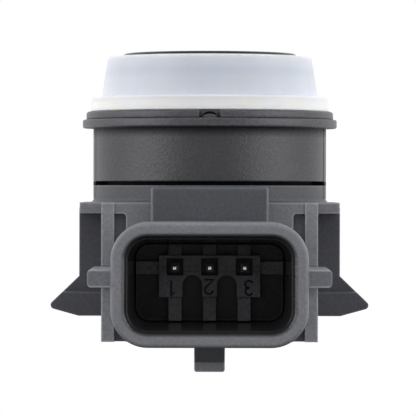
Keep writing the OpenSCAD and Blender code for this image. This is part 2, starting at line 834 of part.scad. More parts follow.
// Moulded carrier in the socket's floor, with the terminal block, its wells, ribs and arches
module terminal_carrier() {
    z_low = z_shroud - floor_h / 2;
    z_high = z_shroud + floor_h / 2;
    z_block_top = z_pin + block_above;
    z_block_low = z_pin - block_below;
    z_step = z_pin - block_step_drop;
    arch_r = arch_w / 2;
    z_arch = z_pin - arch_drop - arch_r;
    color("#2b2c2f")
        difference() {
            union() {
                along_y(y_base, y_floor)
                    translate([0, z_shroud])
                        rounded_rect(floor_w, floor_h, floor_r);
                slab(block_w, y_block, y_base, z_step, z_block_top);
                slab(block_w, y_block + block_step, y_base, z_block_low, z_step);
                slab(floor_w, y_base - rib_out, y_base, z_pin - bar_drop - bar_h / 2, z_pin - bar_drop + bar_h / 2);
                for (x = pin_x)
                    translate([x, 0, 0])
                        slab(rib_w, y_base - rib_out, y_base, z_low, z_high);
                slab(block_w - 2 * snug, y_floor, y_front_wall, z_pin - tongue_half_h + snug,
                    z_pin + tongue_half_h - snug);
            }
            for (x = pin_x)
                translate([x, 0, 0]) {
                    slab(well_w, y_block - past, y_block + well_depth, z_pin - well_h / 2, z_pin + well_h / 2);
                    slab(pin_side, y_block - past, y_front_wall + past, z_pin - pin_side / 2, z_pin + pin_side / 2);
                }
            for (x = [-pin_pitch / 2, pin_pitch / 2])
                along_y(y_block - past, y_base)
                    translate([x, z_arch]) {
                        circle(arch_r);
                        translate([-arch_r, z_block_low - z_arch - past])
                            square([arch_w, z_arch - z_block_low + past]);
                    }
        }
}

// Square pin with a tapered tip, bent down at the rear to pass through the circuit board
module terminal_pin(x) {
    half = pin_side / 2;
    tip_half = pin_tip_side / 2;
    y_bend = y_tail - pin_bend_r;
    z_bend = z_pin - pin_bend_r;
    blade = [
        [y_bend, -half],
        [y_tip + pin_taper, -half],
        [y_tip, -tip_half],
        [y_tip, tip_half],
        [y_tip + pin_taper, half],
        [y_bend, half]
    ];
    color("#c8c6bd")
        translate([x, 0, 0]) {
            translate([0, 0, z_pin])
                intersection() {
                    along_x(pin_side)
                        polygon(blade);
                    rotate(90)
                        mirror([0, 1, 0])
                            linear_extrude(pin_side, center = true)
                                polygon(blade);
                }
            translate([0, y_bend, z_bend])
                rotate([90, 0, 90])
                    rotate_extrude(angle = 90)
                        translate([pin_bend_r, 0])
                            square(pin_side, center = true);
            slab(pin_side, y_tail - half, y_tail + half, z_tails, z_bend);
        }
}

module terminal_pin_1() { terminal_pin(pin_x[0]); }
module terminal_pin_2() { terminal_pin(pin_x[1]); }
module terminal_pin_3() { terminal_pin(pin_x[2]); }

// Circuit board that seats against the posts, with holes for the pin tails
module circuit_board() {
    color("#1f5b3a")
        difference() {
            translate([0, 0, z_board - board_t])
                linear_extrude(board_t)
                    box_outline(board_half_w, -y_front_wall - board_gap, board_back, max(cavity_r, board_gap));
            for (x = pin_x)
                translate([x, y_tail, z_board - board_t - past])
                    cylinder(board_t + 2 * past, d = pin_side * sqrt(2) + 2 * snug);
            for (x = head_pin_x)
                translate([x, 0, z_board - board_t - past])
                    cylinder(board_t + 2 * past, d = head_pin_d + 2 * snug);
        }
}

// Places a shape at the transformer, on the board's rear left
module at_transformer() {
    translate([-board_half_w + post_side + core_side / 2, board_back - post_side - core_side / 2, z_board])
        children();
}

// Signal chip beside the transformer
module signal_chip() {
    color("#191a1c")
        at_transformer()
            translate([core_side / 2 + board_gap + chip_side / 2 + chip_h, 0, chip_h / 2])
                cube([chip_side, chip_side, chip_h], center = true);
}

// Ferrite core: two square end plates on a round post
module transformer_core() {
    color("#3a3634")
        at_transformer() {
            for (z = [0, core_h - core_flange_t])
                translate([-core_side / 2, -core_side / 2, z])
                    cube([core_side, core_side, core_flange_t]);
            cylinder(core_h, d = core_post_d);
        }
}

// Copper winding between the core's end plates
module transformer_winding() {
    color("#b5651d")
        at_transformer()
            translate([0, 0, core_flange_t])
                difference() {
                    cylinder(core_h - 2 * core_flange_t, d = core_side - 2 * end_gap);
                    translate([0, 0, -past])
                        cylinder(core_h + 2 * past, d = core_post_d + 2 * snug);
                }
}

// A row of chip parts along one edge of the board
module chip_row(side, size, count) {
    for (i = [0:count - 1])
        translate([
            side * (board_half_w - board_gap - size[0] / 2) - size[0] / 2,
            y_tail + i * chip_part_pitch,
            z_board
        ])
            cube(size);
}

module chip_capacitors() { color("#a88f6a") chip_row(-1, cap_size, 3); }
module chip_resistors() { color("#26282c") chip_row(1, res_size, 5); }

// Potting between the circuit board and the rear cover, round the pin tails
module potting() {
    color("#24262a")
        difference() {
            translate([0, 0, z_cover])
                linear_extrude(z_board - board_t - z_cover)
                    box_outline(cavity_half_w - snug, -y_front_wall - snug, y_rear_wall - snug, cavity_r);
            for (x = pin_x)
                translate([x, 0, 0])
                    slab(pin_side, y_tail - pin_side / 2, y_tail + pin_side / 2, z_tails, z_board);
            for (x = head_pin_x)
                translate([x, 0, z_tails])
                    cylinder(z_board - z_tails, d = head_pin_d + 2 * snug);
        }
}

// Rear cover let into the open side of the box
module rear_cover() {
    ledge = cover_ledge - snug;
    color("#45474b")
        translate([0, 0, z_box])
            linear_extrude(cover_t)
                box_outline(cavity_half_w + ledge, ledge - y_front_wall, y_rear_wall + ledge, cavity_r + ledge);
}

decoupling_ring();
membrane_pot();
piezo_disc();
damping_foam();
piezo_leads();
contact_carrier();
transducer_pins();
retaining_collar();
front_sleeve();
joint_seal();
main_housing();
terminal_carrier();
terminal_pin_1();
terminal_pin_2();
terminal_pin_3();
circuit_board();
signal_chip();
transformer_core();
transformer_winding();
chip_capacitors();
chip_resistors();
potting();
rear_cover();
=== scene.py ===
"""Dresses the parking sensor: a finish for every moulded, metal, rubber and ceramic piece, the numerals in
its plug socket, and a white studio round it. Lengths are in metres, in the frame of the solids."""
import json
import math

import bmesh
import bpy
import numpy as np
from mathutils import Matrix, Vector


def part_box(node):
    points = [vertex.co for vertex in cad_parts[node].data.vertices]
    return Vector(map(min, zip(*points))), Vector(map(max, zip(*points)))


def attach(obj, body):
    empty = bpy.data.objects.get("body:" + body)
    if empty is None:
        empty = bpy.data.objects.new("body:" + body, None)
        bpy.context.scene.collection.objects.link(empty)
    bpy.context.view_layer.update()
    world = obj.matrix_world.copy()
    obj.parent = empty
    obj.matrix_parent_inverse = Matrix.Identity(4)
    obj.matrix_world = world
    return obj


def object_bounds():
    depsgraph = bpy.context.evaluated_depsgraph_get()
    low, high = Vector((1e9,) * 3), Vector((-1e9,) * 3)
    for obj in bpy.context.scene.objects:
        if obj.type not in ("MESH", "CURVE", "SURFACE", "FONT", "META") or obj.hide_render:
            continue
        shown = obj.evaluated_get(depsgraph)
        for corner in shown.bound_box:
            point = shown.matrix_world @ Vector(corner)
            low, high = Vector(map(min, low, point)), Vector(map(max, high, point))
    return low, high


MM = 0.001

# The camera stands level with the joint under the sleeve, and looks at the middle of the picture
PICTURE_PX = 416
SENSOR_MM = 36.0
MM_PER_PX = 0.0893
CAMERA_AWAY = 300 * MM
CAMERA_X = -0.149 * MM
EYE_Z = -5.30 * MM
AIM_DROP = 1.79 * MM
CAMERA_ROLL = math.radians(0.1)

# The floor lies a little below the sensor, which its flange holds up. It keeps the shadow near the sensor
# and is white further out. The camera sees its grey; its bounce is what it throws back as light
FLOOR_DROP = 10 * MM
FLOOR_HALF = 3.0
FLOOR_SHADOW_R = 0.03
FLOOR_WHITE_R = 0.075
FLOOR_GREY = (0.80, 0.80, 0.80)
FLOOR_BOUNCE = (0.12, 0.12, 0.12)

# The surround goes from dim on the camera's side to white behind the sensor, along the direction's Y
ROOM_FRONT = -0.6
ROOM_BACK = 0.7
ROOM_GLOSS = 0.20
ROOM_LIGHT = 0.17

# Soft boxes: azimuth from the camera's side, elevation, distance, width, height, power, and whether gloss
# shows them
SOFT_BOXES = {
    "left_soft_box": (-65, 14, 0.35, 0.30, 0.32, 0.74, True),
    "right_soft_box": (65, 14, 0.35, 0.30, 0.32, 0.74, True),
    "left_rim_box": (-118, 12, 0.35, 0.30, 0.30, 0.50, False),
    "right_rim_box": (118, 12, 0.35, 0.30, 0.30, 0.50, False),
    "key_soft_box": (0, 46, 0.40, 0.40, 0.26, 0.32, True),
    "front_fill": (0, 1, 0.45, 0.50, 0.40, 0.34, False),
}

# Softened edges of the moulded pieces, of the carriers, and of the pins and the board: their widths, their
# steps, the angle from which an edge is sharp, and the angle and gap up to which faces and corners are one
BEVEL_W = 0.11 * MM
CARRIER_EDGE = 0.05 * MM
PIN_EDGE = 0.03 * MM
BEVEL_STEPS = 3
SHARP_ANGLE = math.radians(32)
FLAT_ANGLE = math.radians(0.5)
WELD_GAP = 0.001 * MM

# Rounding of the moulded edges that the finishes show, and how far in from the outer edges a painted
# highlight lightens them, each with the number of its samples
EDGE_R = 0.16 * MM
EDGE_SAMPLES = 6
EDGE_HIGHLIGHT_W = 0.20 * MM
EDGE_HIGHLIGHT_SAMPLES = 12

# Texture that spark erosion leaves in the moulds: grain, its depth, the share of the finer grain in it, the
# slow cloud of shade, and how far the gloss varies
SPARK_GRAIN = 0.23 * MM
SPARK_DEPTH = 0.036 * MM
SPARK_FINE = 0.35
SPARK_CLOUD = 16 * SPARK_GRAIN
SPARK_GLOSS = 0.06

# Cool tint of the plastics' gloss in the open, and painted shade that dims the gloss right under the flange
# and in the joint, and on the ledge of the socket's mouth
GLOSS_TINT = (0.95, 0.955, 1.0)
SHADE_TINT = (0.16, 0.16, 0.17)
LEDGE_TINT = (0.48, 0.48, 0.50)

# Passage at the border of a zone
PASSAGE = 0.04 * MM

# Pieces inside: finish, dark and light shade, roughness, then grain, relief and softened edges in mm
INNER_FINISHES = {
    "joint_seal": ("seal_rubber", (0.008, 0.008, 0.009), (0.014, 0.014, 0.015), 0.6, 0.2, 0.008, 0),
    "piezo_disc": ("piezo_ceramic", (0.50, 0.44, 0.34), (0.60, 0.53, 0.42), 0.5, 0.08, 0.002, 0.03),
    "damping_foam": ("foam", (0.06, 0.06, 0.06), (0.16, 0.16, 0.15), 0.9, 0.35, 0.08, 0.05),
    "signal_chip": ("chip_body", (0.012, 0.012, 0.013), (0.022, 0.022, 0.024), 0.6, 0.1, 0.004, 0.04),
    "transformer_core": ("ferrite", (0.020, 0.020, 0.022), (0.040, 0.039, 0.040), 0.55, 0.15, 0.005, 0.04),
    "chip_capacitors": ("chip_ceramic", (0.34, 0.24, 0.13), (0.52, 0.38, 0.22), 0.45, 0.12, 0.008, 0.03),
    "chip_resistors": (
        "resistor_film", (0.013, 0.013, 0.015), (0.034, 0.034, 0.038), 0.45, 0.12, 0.005, 0.03),
    "potting": ("potting_resin", (0.010, 0.010, 0.011), (0.016, 0.016, 0.018), 0.28, 1.6, 0.03, 0),
}

# Numerals beside the pins: height, half width and rise of their strokes, how deep they root, points in an
# arc, and their middles in X and Z
NUMERAL_H = 1.22 * MM
STROKE_HALF_W = 0.10 * MM
STROKE_RISE = 0.03 * MM
STROKE_ROOT = 0.05 * MM
ARC_POINTS = 15
NUMERAL_PLACES = {
    "1": (-3.26 * MM, -13.82 * MM),
    "2": (-0.05 * MM, -13.73 * MM),
    "3": (3.36 * MM, -13.82 * MM),
}

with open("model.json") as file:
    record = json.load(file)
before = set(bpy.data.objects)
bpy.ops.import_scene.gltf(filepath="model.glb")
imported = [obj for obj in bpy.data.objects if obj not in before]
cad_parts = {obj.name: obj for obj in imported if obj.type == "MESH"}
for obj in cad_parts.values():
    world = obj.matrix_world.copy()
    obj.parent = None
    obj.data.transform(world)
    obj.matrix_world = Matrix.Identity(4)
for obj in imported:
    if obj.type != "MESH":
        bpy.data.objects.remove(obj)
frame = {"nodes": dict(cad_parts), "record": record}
solid_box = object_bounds()
nodes = frame["nodes"]

# Places on the housing that its finish follows
mounts = {mount["name"]: mount["pos_m"] for mount in frame["record"]["mounts"]}
SOCKET_X, MOUTH_Y, SOCKET_Z = mounts["plug_socket"]
RING_TOP_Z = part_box("main_housing")[1][2]
PLATE_Z = RING_TOP_Z - 1.5 * MM
PLATE_T = 0.95 * MM
BOX_FRONT_Y = MOUTH_Y + 11.0 * MM
BOX_HALF_W = 9.33 * MM
STRIP_OUT = 0.4 * MM
NECK_HALF_W = 5.05 * MM
NECK_TOP_H = 0.4 * MM
NECK_SIDE_W = 0.15 * MM
SHROUD_HALF_W = 8.23 * MM
SHROUD_HALF_H = 5.2 * MM
SHROUD_R = 3.1 * MM
SHROUD_WALL = 1.36 * MM
SHROUD_LOW_Z = SOCKET_Z - SHROUD_HALF_H
LEDGE_Y = MOUTH_Y + 0.8 * MM
LEDGE_REACH = 0.12 * MM
LATCH_HALF_W = 1.28 * MM
LATCH_RAMP_H = 1.3 * MM
RAIL_Z = SOCKET_Z + 0.55 * MM
RAIL_HALF_H = 0.75 * MM
RAIL_BORDER_W = 0.16 * MM
RAIL_SHADE_H = 0.12 * MM

# Places on the carrier, the sleeve with its collar, and the soft ring
NUMERAL_FACE_Y = BOX_FRONT_Y - 2.98 * MM
BEHIND_RIBS_Y = BOX_FRONT_Y - 2.35 * MM
SLEEVE_LOW_Z = RING_TOP_Z + 0.38 * MM
FLANGE_SHADE_H = 0.9 * MM
COLLAR_Z = 0.76 * MM
CATCH_HALF_W = 0.62 * MM
CATCH_H = 0.5 * MM
NOTCH_HALF_W = 0.92 * MM
BAND_Z = 1.48 * MM
CONE_Z = mounts["bumper_seal"][2]
CONE_TOP_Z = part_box("decoupling_ring")[1][2]
SHOULDER_Z = CONE_TOP_Z - 1.4 * MM
SHOULDER_H = 0.7 * MM


def put(tree, kind, **given):
    """Adds a node. Names in capitals are inputs, which take a value or another node's output; the others are
    settings."""
    node = tree.nodes.new(kind)
    for name, value in given.items():
        if name[0].islower():
            setattr(node, name, value)
        else:
            feed(tree, node.inputs[name.replace("_", " ")], value)
    return node


def feed(tree, socket, value):
    """Gives a socket a value or another node's output."""
    if isinstance(value, bpy.types.NodeSocket):
        tree.links.new(value, socket)
    else:
        socket.default_value = value


def colour_sockets(sockets):
    """The colour sockets among a node's inputs or outputs."""
    return [socket for socket in sockets if socket.type == "RGBA"]


def new_finish(name, colour, roughness, **shader_values):
    """A material whose shader already holds what is the same all over. Returns it with its tree, shader and
    places."""
    material = bpy.data.materials.new(name)
    material.use_nodes = True
    tree = material.node_tree
    shader = tree.nodes["Principled BSDF"]
    shader.inputs["Base Color"].default_value = (*colour, 1)
    shader.inputs["Roughness"].default_value = roughness
    for socket, value in shader_values.items():
        shader.inputs[socket.replace("_", " ")].default_value = value
    place = put(tree, "ShaderNodeTexCoord").outputs["Object"]
    return material, tree, shader, place


def grain(tree, place, size, detail=2.0):
    """Noise whose features are about `size` across."""
    return put(tree, "ShaderNodeTexNoise", Vector=place, Scale=1 / size, Detail=detail).outputs["Fac"]


def threads(tree, place, axis, size, distortion):
    """Even bands across an axis, for wound and woven patterns."""
    wave = put(tree, "ShaderNodeTexWave", bands_direction=axis, Vector=place, Scale=1 / size,
               Distortion=distortion, Detail=1.0)
    return wave.outputs["Fac"]


def spread(tree, value, low, high, out_low, out_high, smooth=False):
    """Carries a value from one range to another."""
    kind = "SMOOTHSTEP" if smooth else "LINEAR"
    node = put(tree, "ShaderNodeMapRange", interpolation_type=kind, Value=value, From_Min=low, From_Max=high,
               To_Min=out_low, To_Max=out_high)
    return node.outputs["Result"]


def joined(tree, operation, *values):
    """Two or more values joined by the same operation, such as ADD or MAXIMUM."""
    total = values[0]
    for value in values[1:]:
        node = put(tree, "ShaderNodeMath", operation=operation)
        feed(tree, node.inputs[0], total)
        feed(tree, node.inputs[1], value)
        total = node.outputs["Value"]
    return total


def distance(tree, value, middle=0.0):
    """Distance of a value from a middle."""
    past = joined(tree, "SUBTRACT", value, middle)
    return put(tree, "ShaderNodeMath", operation="ABSOLUTE", Value=past).outputs["Value"]


def above(tree, value, edge, soft=PASSAGE):
    """Zone above an edge: 1 there and 0 below it, with a short passage."""
    return spread(tree, value, edge - soft, edge + soft, 0, 1, smooth=True)


def below(tree, value, edge, soft=PASSAGE):
    """Zone below an edge: 1 there and 0 above it, with a short passage."""
    return spread(tree, value, edge - soft, edge + soft, 1, 0, smooth=True)


def overlap(tree, *zones):
    """Zone that lies in all of these zones."""
    return joined(tree, "MULTIPLY", *zones)


def tint(tree, factor, low, high):
    """Colour between two colours, each a colour or another node's output."""
    node = put(tree, "ShaderNodeMix", data_type="RGBA", Factor=factor)
    for socket, value in zip(colour_sockets(node.inputs), (low, high)):
        feed(tree, socket, value if isinstance(value, bpy.types.NodeSocket) else (*value, 1))
    return colour_sockets(node.outputs)[0]


def between(tree, factor, low, high):
    """Number between two numbers, each a number or another node's output."""
    node = put(tree, "ShaderNodeMix", data_type="FLOAT", Factor=factor)
    feed(tree, node.inputs["A"], low)
    feed(tree, node.inputs["B"], high)
    return node.outputs["Result"]


def shaded(tree, zone, colour, share):
    """Colour that is multiplied by a share inside a zone: one number, or one for each of its parts."""
    node = put(tree, "ShaderNodeMix", data_type="RGBA", blend_type="MULTIPLY", Factor=zone)
    for socket, value in zip(colour_sockets(node.inputs), (colour, (*np.broadcast_to(share, 3), 1))):
        feed(tree, socket, value)
    return colour_sockets(node.outputs)[0]


def relief(tree, shader, height, depth, edge_r=0.0):
    """Gives the shader a bumpy surface of this depth, and edges that look rounded by this radius."""
    bump = put(tree, "ShaderNodeBump", Height=height, Distance=depth, Strength=1.0)
    tree.links.new(bump.outputs["Normal"], shader.inputs["Normal"])
    if edge_r:
        edges = put(tree, "ShaderNodeBevel", samples=EDGE_SAMPLES, Radius=edge_r)
        tree.links.new(edges.outputs["Normal"], bump.inputs["Normal"])


def spark_eroded(name, dark, light, roughness, specular=0.5, depth=SPARK_DEPTH, edge_r=EDGE_R):
    """Moulded plastic with the fine pitted texture of a spark-eroded tool: small grains, a finer one between
    them, and a slow change of shade from flow in the mould. Returns the material, its tree, shader and
    places."""
    material, tree, shader, place = new_finish(
        name, dark, roughness, Specular_IOR_Level=specular, Specular_Tint=(*GLOSS_TINT, 1))
    coarse = grain(tree, place, SPARK_GRAIN, detail=1.0)
    fine = grain(tree, place, SPARK_GRAIN / 3, detail=1.0)
    cloud = grain(tree, place, SPARK_CLOUD, detail=3.0)
    height = joined(tree, "ADD", coarse, joined(tree, "MULTIPLY", fine, SPARK_FINE))
    specks = spread(tree, coarse, 0.3, 0.7, 0, 1)
    shade = joined(tree, "MULTIPLY", specks, spread(tree, cloud, 0.3, 0.7, 0.7, 1.2))
    gloss = spread(tree, coarse, 0.25, 0.75, roughness - SPARK_GLOSS, roughness + SPARK_GLOSS)
    tree.links.new(tint(tree, shade, dark, light), shader.inputs["Base Color"])
    tree.links.new(gloss, shader.inputs["Roughness"])
    relief(tree, shader, height, depth, edge_r=edge_r)
    return material, tree, shader, place


def paint_edge_highlights(tree, shader, share, kept=0.0):
    """Lightens outer edges with a painted highlight, for the light that they catch: a short way inside the
    solid, another face is met only there. Inside the zone that is kept, the colour stays as it was."""
    inside = put(tree, "ShaderNodeAmbientOcclusion", inside=True, only_local=True, samples=EDGE_HIGHLIGHT_SAMPLES,
                 Distance=EDGE_HIGHLIGHT_W)
    highlit = joined(tree, "SUBTRACT", 1.0, kept)
    # Painted highlight along the outer edges, left out of the kept zone
    edge_highlight = overlap(tree, spread(tree, inside.outputs["AO"], 0.95, 0.55, 0, 1), highlit)
    colour = shader.inputs["Base Color"].links[0].from_socket
    tree.links.new(shaded(tree, edge_highlight, colour, share), shader.inputs["Base Color"])


def gloss_and_painted_light(tree, shader, *zones):
    """Changes a finish inside zones, each with what its colour is multiplied by and its roughness. In most
    zones the colour share is painted light and shade.
    """
    colour = shader.inputs["Base Color"].links[0].from_socket
    rough = shader.inputs["Roughness"].links[0].from_socket
    for zone, share, gloss in zones:
        colour = shaded(tree, zone, colour, share)
        rough = between(tree, zone, rough, gloss)
    tree.links.new(colour, shader.inputs["Base Color"])
    tree.links.new(rough, shader.inputs["Roughness"])


def sleeve_finish():
    """The sleeve's and the collar's plastic: textured and satin, and darker below the flange. Painted shade
    darkens it right under the flange, beside the catch, where it is also rougher, and on the spigot inside
    the joint, nearly to black there; it also dims the gloss under the flange and in the joint. A painted
    highlight lightens its outer edges."""
    material, tree, shader, place = spark_eroded(
        "sleeve_plastic", (0.036, 0.036, 0.042), (0.063, 0.063, 0.071), 0.42, specular=0.7)
    x, y, z = put(tree, "ShaderNodeSeparateXYZ", Vector=place).outputs
    sideways = distance(tree, x)
    sleeve = below(tree, z, 0)
    # Painted shadow of the flange, deepest right under it
    under_flange = overlap(tree, spread(tree, z, -FLANGE_SHADE_H, 0, 0, 1), sleeve)
    spigot = below(tree, z, SLEEVE_LOW_Z - 0.05 * MM, 0.03 * MM)
    beside_catch = overlap(
        tree,
        above(tree, sideways, CATCH_HALF_W),
        below(tree, sideways, NOTCH_HALF_W),
        above(tree, z, COLLAR_Z),
        below(tree, z, COLLAR_Z + CATCH_H, 0.15 * MM),
        below(tree, y, 0))
    # Painted shade dims the gloss right under the flange and on the spigot in the joint
    gloss_shade = joined(tree, "MAXIMUM", under_flange, spigot)
    tree.links.new(tint(tree, gloss_shade, GLOSS_TINT, SHADE_TINT), shader.inputs["Specular Tint"])
    # Painted shade right under the flange, beside the catch and on the spigot in the joint
    gloss_and_painted_light(tree, shader,
           (sleeve, (0.58, 0.58, 0.59), 0.42),
           (under_flange, 0.3, 0.6),
           (beside_catch, 0.25, 0.8),
           (spigot, 0.22, 0.85))
    # Painted highlight on the outer edges
    paint_edge_highlights(tree, shader, 1.6)
    return material


def carrier_finish():
    """The terminal carrier's plastic: dark, and smoother behind its ribs, where painted shade darkens it
    nearly to black and a painted highlight draws a faint light line along the edges."""
    material, tree, shader, place = spark_eroded(
        "carrier_plastic", (0.068, 0.068, 0.074), (0.108, 0.108, 0.117), 0.55, specular=0.25,
        edge_r=CARRIER_EDGE)
    y = put(tree, "ShaderNodeSeparateXYZ", Vector=place).outputs["Y"]
    # Painted shade behind the ribs, at the back of the socket
    gloss_and_painted_light(tree, shader, (above(tree, y, BEHIND_RIBS_Y, 0.1 * MM), 0.08, 0.50))
    # Painted highlight along the edges behind the ribs
    paint_edge_highlights(tree, shader, 6.0, kept=below(tree, y, BEHIND_RIBS_Y))
    return material


def housing_finish():
    """The housing's plastic: light and matt outside, darker on the wings, and darker, bluish and smoother on
    the neck.
    Painted shade darkens the ring, the latch's ramp and the plug socket, which is glossy, and the ledge in
    its mouth, which is duller. Painted highlights lighten the borders of rails and neck and the outer edges;
    on the strips beside the shroud, painted light lifts the shade, most of all under the rails, and a
    painted shadow lies over the rails. A zone is where its limits across, along the plug's axis and in
    height overlap; they stand a hair off the edges that they follow. The socket's is drawn in from the
    shroud's outline, whose corners are round: there, the distance from the corner's middle counts."""
    material, tree, shader, place = spark_eroded(
        "housing_plastic", (0.172, 0.175, 0.190), (0.221, 0.224, 0.242), 0.50, depth=0.022 * MM)
    x, y, z = put(tree, "ShaderNodeSeparateXYZ", Vector=place).outputs
    across = distance(tree, x, SOCKET_X)
    from_axis = distance(tree, z, SOCKET_Z)
    past_x = joined(tree, "MAXIMUM", joined(tree, "SUBTRACT", across, SHROUD_HALF_W - SHROUD_R), 0.0)
    past_z = joined(tree, "MAXIMUM", joined(tree, "SUBTRACT", from_axis, SHROUD_HALF_H - SHROUD_R), 0.0)
    past = put(tree, "ShaderNodeCombineXYZ", X=past_x, Y=past_z).outputs["Vector"]
    from_corner = put(tree, "ShaderNodeVectorMath", operation="LENGTH", Vector=past).outputs["Value"]
    socket = overlap(
        tree,
        below(tree, from_corner, SHROUD_R - 0.6 * SHROUD_WALL),
        below(tree, y, BOX_FRONT_Y - 0.3 * MM),
        above(tree, y, MOUTH_Y + 0.04 * MM))
    ledge = overlap(tree, socket, below(tree, distance(tree, y, LEDGE_Y), LEDGE_REACH))
    neck = overlap(
        tree,
        below(tree, across, NECK_HALF_W + 0.1 * MM),
        above(tree, z, SOCKET_Z + SHROUD_HALF_H + 0.02 * MM),
        below(tree, y, BOX_FRONT_Y - 0.1 * MM))
    neck_top = overlap(tree, neck, above(tree, z, RING_TOP_Z - NECK_TOP_H, 0.15 * MM))
    neck_side = overlap(tree, neck, above(tree, across, NECK_HALF_W - NECK_SIDE_W, 0.05 * MM))
    wing = overlap(
        tree,
        above(tree, across, BOX_HALF_W + 0.03 * MM),
        above(tree, y, BOX_FRONT_Y + 0.05 * MM),
        below(tree, z, PLATE_Z - PLATE_T - 0.03 * MM))
    ring = overlap(
        tree,
        above(tree, z, PLATE_Z + 0.03 * MM),
        above(tree, y, BOX_FRONT_Y + 0.05 * MM))
    ramp = overlap(
        tree,
        below(tree, z, SHROUD_LOW_Z - 0.05 * MM),
        above(tree, z, SHROUD_LOW_Z - LATCH_RAMP_H),
        below(tree, across, LATCH_HALF_W + 0.1 * MM))
    rail = overlap(
        tree,
        above(tree, across, SHROUD_HALF_W + 0.05 * MM),
        below(tree, y, BOX_FRONT_Y - STRIP_OUT - 0.1 * MM))
    rail_border = overlap(tree, rail, above(tree, distance(tree, z, RAIL_Z), RAIL_HALF_H - RAIL_BORDER_W))
    strip = overlap(
        tree,
        above(tree, across, SHROUD_HALF_W - 0.2 * MM),
        below(tree, y, BOX_FRONT_Y - 0.06 * MM),
        above(tree, y, BOX_FRONT_Y - STRIP_OUT))
    over_rail = overlap(
        tree,
        strip,
        above(tree, z, RAIL_Z),
        below(tree, z, RAIL_Z + RAIL_HALF_H + RAIL_SHADE_H))
    under_rail = overlap(tree, strip, below(tree, z, RAIL_Z - RAIL_HALF_H + 0.1 * MM))
    # Painted shade dims the gloss on the ledge in the socket's mouth
    tree.links.new(tint(tree, ledge, GLOSS_TINT, LEDGE_TINT), shader.inputs["Specular Tint"])
    # Painted highlights on the rails' borders and the neck's top and sides; painted light on the strips,
    # most of all under the rails; a painted shadow over the rails; painted shade on the ledge, the ring, the
    # latch's ramp and the socket
    gloss_and_painted_light(tree, shader,
           (rail_border, 1.6, 0.45),
           (over_rail, 0.7, 0.6),
           (under_rail, 1.42, 0.5),
           (ledge, 0.35, 0.5),
           (neck_top, 1.25, 0.42),
           (neck_side, 1.5, 0.42),
           (ring, (0.345, 0.345, 0.355), 0.52),
           (ramp, (0.55, 0.55, 0.56), 0.5),
           (strip, 1.14, 0.5),
           (neck, (0.36, 0.38, 0.40), 0.42),
           (wing, (0.345, 0.345, 0.36), 0.50),
           (rail, (0.72, 0.73, 0.75), 0.45),
           (socket, 0.13, 0.18))
    # Painted highlight on the outer edges outside the socket
    paint_edge_highlights(tree, shader, (1.75, 1.77, 1.8), kept=socket)
    return material


def soft_ring_finish():
    """Milky silicone: white in the band, with painted light that whitens it towards its lower edge, and
    bluish and deep on the cone, where the dark pot behind the thin wall shows through, most of all along the
    pot's shoulder."""
    material, tree, shader, place = new_finish(
        "soft_ring", (0.66, 0.69, 0.75), 0.42, Subsurface_Weight=1.0, Subsurface_Radius=(1.0, 0.85, 0.65),
        IOR=1.41)
    z = put(tree, "ShaderNodeSeparateXYZ", Vector=place).outputs["Z"]
    cloud = grain(tree, place, 3.0 * MM)
    cone = above(tree, z, CONE_Z, 0.5 * MM)
    shoulder = spread(tree, distance(tree, z, SHOULDER_Z), 0, SHOULDER_H, 1, 0, smooth=True)
    # Painted light: the band whitens towards its lower edge
    lip_highlight = spread(tree, z, BAND_Z + 0.1 * MM, BAND_Z + 1.1 * MM, 1, 0)
    depth = spread(tree, z, BAND_Z + 0.9 * MM, BAND_Z + 1.5 * MM, 0.12 * MM, 1.2 * MM)
    fine = grain(tree, place, 0.14 * MM, detail=1.0)
    colour = tint(tree, spread(tree, cloud, 0.35, 0.65, 0, 1), (0.815, 0.815, 0.83), (0.845, 0.845, 0.86))
    colour = shaded(tree, cone, colour, (0.82, 0.86, 0.925))
    colour = shaded(tree, shoulder, colour, (0.94, 0.955, 0.975))
    tree.links.new(tint(tree, lip_highlight, colour, (0.99, 0.99, 0.99)), shader.inputs["Base Color"])
    tree.links.new(depth, shader.inputs["Subsurface Scale"])
    tree.links.new(spread(tree, fine, 0.3, 0.7, 0.36, 0.48), shader.inputs["Roughness"])
    relief(tree, shader, fine, 0.004 * MM)
    return material


def lacquer_finish():
    """Black lacquer on the membrane, with the faint flow of spraying."""
    material, tree, shader, place = new_finish(
        "membrane_lacquer", (0.012, 0.012, 0.014), 0.3, Coat_Weight=0.15, Coat_Roughness=0.25)
    peel = grain(tree, place, 0.6 * MM)
    colour = tint(tree, peel, (0.010, 0.010, 0.012), (0.018, 0.018, 0.020))
    tree.links.new(colour, shader.inputs["Base Color"])
    tree.links.new(spread(tree, peel, 0.3, 0.7, 0.25, 0.38), shader.inputs["Roughness"])
    relief(tree, shader, peel, 0.006 * MM)
    return material


def tinned_finish():
    """Matt tin on the pins, with drawing marks along them: grain that is stretched along Y."""
    material, tree, shader, place = new_finish("pin_tin", (0.61, 0.60, 0.58), 0.32, Metallic=1.0)
    drawn = put(tree, "ShaderNodeMapping", Vector=place, Scale=(1, 0.08, 1)).outputs["Vector"]
    marks = grain(tree, drawn, 0.05 * MM)
    colour = tint(tree, marks, (0.54, 0.53, 0.51), (0.68, 0.67, 0.65))
    tree.links.new(colour, shader.inputs["Base Color"])
    tree.links.new(spread(tree, marks, 0.3, 0.7, 0.24, 0.42), shader.inputs["Roughness"])
    relief(tree, shader, marks, 0.002 * MM)
    return material


